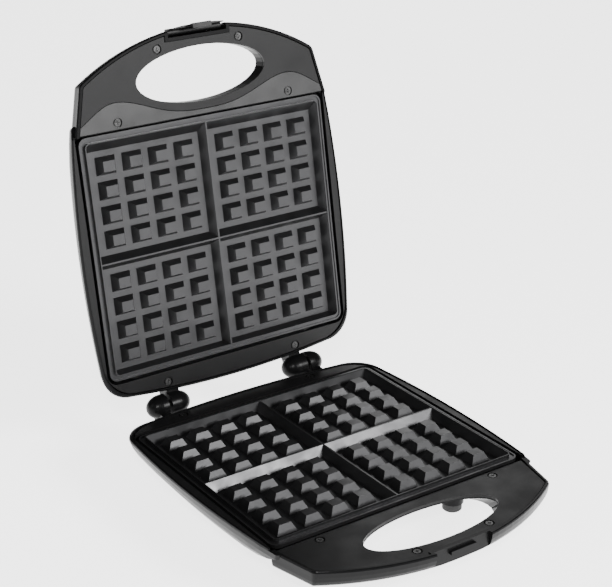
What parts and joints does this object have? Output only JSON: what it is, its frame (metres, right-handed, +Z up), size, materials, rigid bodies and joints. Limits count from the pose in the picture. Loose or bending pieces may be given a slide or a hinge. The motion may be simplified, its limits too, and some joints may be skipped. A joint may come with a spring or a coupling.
{
  "type": "waffle maker",
  "caption": "Waffle maker with a hinged lid, deep pegged cooking plates, handles with oval hand openings and a front latch clip, standing open.",
  "frame": {"origin": "centre of the open appliance's footprint box, on the floor", "axes": "+Z up, front with the handle and the latch towards -Y, hinge axis along X"},
  "size_m": [0.2646, 0.3846, 0.3657],
  "materials": {
    "casing": "glossy moulded black",
    "panel": "satin moulded charcoal",
    "nonstick": "cast, with a dark satin non-stick coating",
    "heater_tube": "heat-darkened sheath",
    "sheet_steel": "plain bent strip",
    "reflector_sheet": "bright thin sheet",
    "steel": "plain turned steel",
    "black_steel": "blackened screws",
    "insulator": "off-white insulating moulding",
    "wire": "silicone covered wire",
    "rubber": "matt black",
    "red_lens": "clear red",
    "green_lens": "clear green",
    "lamp": "clear"
  },
  "bodies": {
    "base": {"base_housing": "casing", "base_frame": "panel", "base_handle_cover": "panel", "lower_plate": "nonstick", "lower_heater": "heater_tube", "lower_heater_clamps": "sheet_steel", "lower_reflector": "reflector_sheet", "thermostat": "insulator", "thermal_fuse": "insulator", "terminal_block": "insulator", "base_leads": "wire", "cord_gland": "rubber", "rubber_feet": "rubber", "base_screws": "black_steel", "lower_plate_screws": "steel", "hinge_pins": "steel"},
    "lid": {"lid_housing": "casing", "lid_frame": "panel", "lid_plate_trim": "panel", "lid_handle_cover": "panel", "upper_plate": "nonstick", "upper_heater": "heater_tube", "upper_heater_clamps": "sheet_steel", "upper_reflector": "reflector_sheet", "lid_leads": "wire", "power_light": "red_lens", "ready_light": "green_lens", "indicator_lamps": "lamp", "lid_screws": "black_steel", "upper_plate_screws": "steel", "latch_pin": "steel"},
    "latch": {"latch_clip": "panel"}
  },
  "joints": [
    {"name": "lid_hinge", "type": "hinge", "parent": "base", "child": "lid", "pos_m": [0, 0.1251, 0.0458], "axis": [1, 0, 0], "range_deg": [0, 99.6]},
    {"name": "latch_hinge", "type": "hinge", "parent": "lid", "child": "latch", "pos_m": [0, 0.18192, 0.35658], "axis": [1, 0, 0], "range_deg": [0, 10]}
  ]
}
